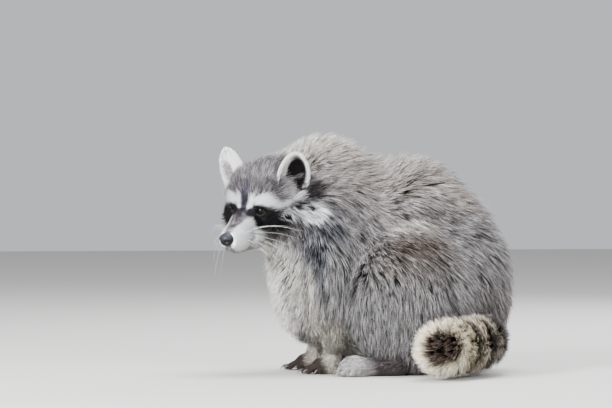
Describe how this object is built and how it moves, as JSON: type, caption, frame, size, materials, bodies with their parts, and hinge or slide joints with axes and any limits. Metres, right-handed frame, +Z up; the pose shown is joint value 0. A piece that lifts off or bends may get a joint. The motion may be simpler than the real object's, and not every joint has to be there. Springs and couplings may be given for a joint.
{
  "type": "raccoon",
  "caption": "Life-size raccoon crouched on its haunches, head low and turned to its left, ringed tail curled round beside it; a still display animal.",
  "frame": {"origin": "on the floor, under the middle of the bounding box", "axes": "+Z up; the animal faces -Y and its left side is +X, towards which its head is turned and its tail lies"},
  "size_m": [0.3751, 0.3964, 0.3115],
  "materials": {
    "coat": "grizzled grey-brown fur with cream, black and white markings",
    "nose": "moist pebbled black skin",
    "eye": "wet dark brown",
    "claw": "worn dark horn"
  },
  "bodies": {
    "root": {"claw_forepaw_left_1": "claw", "claw_forepaw_left_2": "claw", "claw_forepaw_left_3": "claw", "claw_forepaw_left_4": "claw", "claw_forepaw_left_5": "claw", "claw_forepaw_right_1": "claw", "claw_forepaw_right_2": "claw", "claw_forepaw_right_3": "claw", "claw_forepaw_right_4": "claw", "claw_forepaw_right_5": "claw", "claw_hindfoot_left_1": "claw", "claw_hindfoot_left_2": "claw", "claw_hindfoot_left_3": "claw", "claw_hindfoot_left_4": "claw", "claw_hindfoot_left_5": "claw", "claw_hindfoot_right_1": "claw", "claw_hindfoot_right_2": "claw", "claw_hindfoot_right_3": "claw", "claw_hindfoot_right_4": "claw", "claw_hindfoot_right_5": "claw", "ear_left": "coat", "ear_right": "coat", "eye_left": "eye", "eye_right": "eye", "forearm_left": "coat", "forearm_right": "coat", "forepaw_left": "coat", "forepaw_right": "coat", "haunch_left": "coat", "haunch_right": "coat", "head": "coat", "hindfoot_left": "coat", "hindfoot_right": "coat", "jaw": "coat", "neck": "coat", "nose": "nose", "tail_1": "coat", "tail_2": "coat", "tail_3": "coat", "tail_4": "coat", "tail_5": "coat", "trunk": "coat", "upper_arm_left": "coat", "upper_arm_right": "coat"}
  },
  "joints": []
}
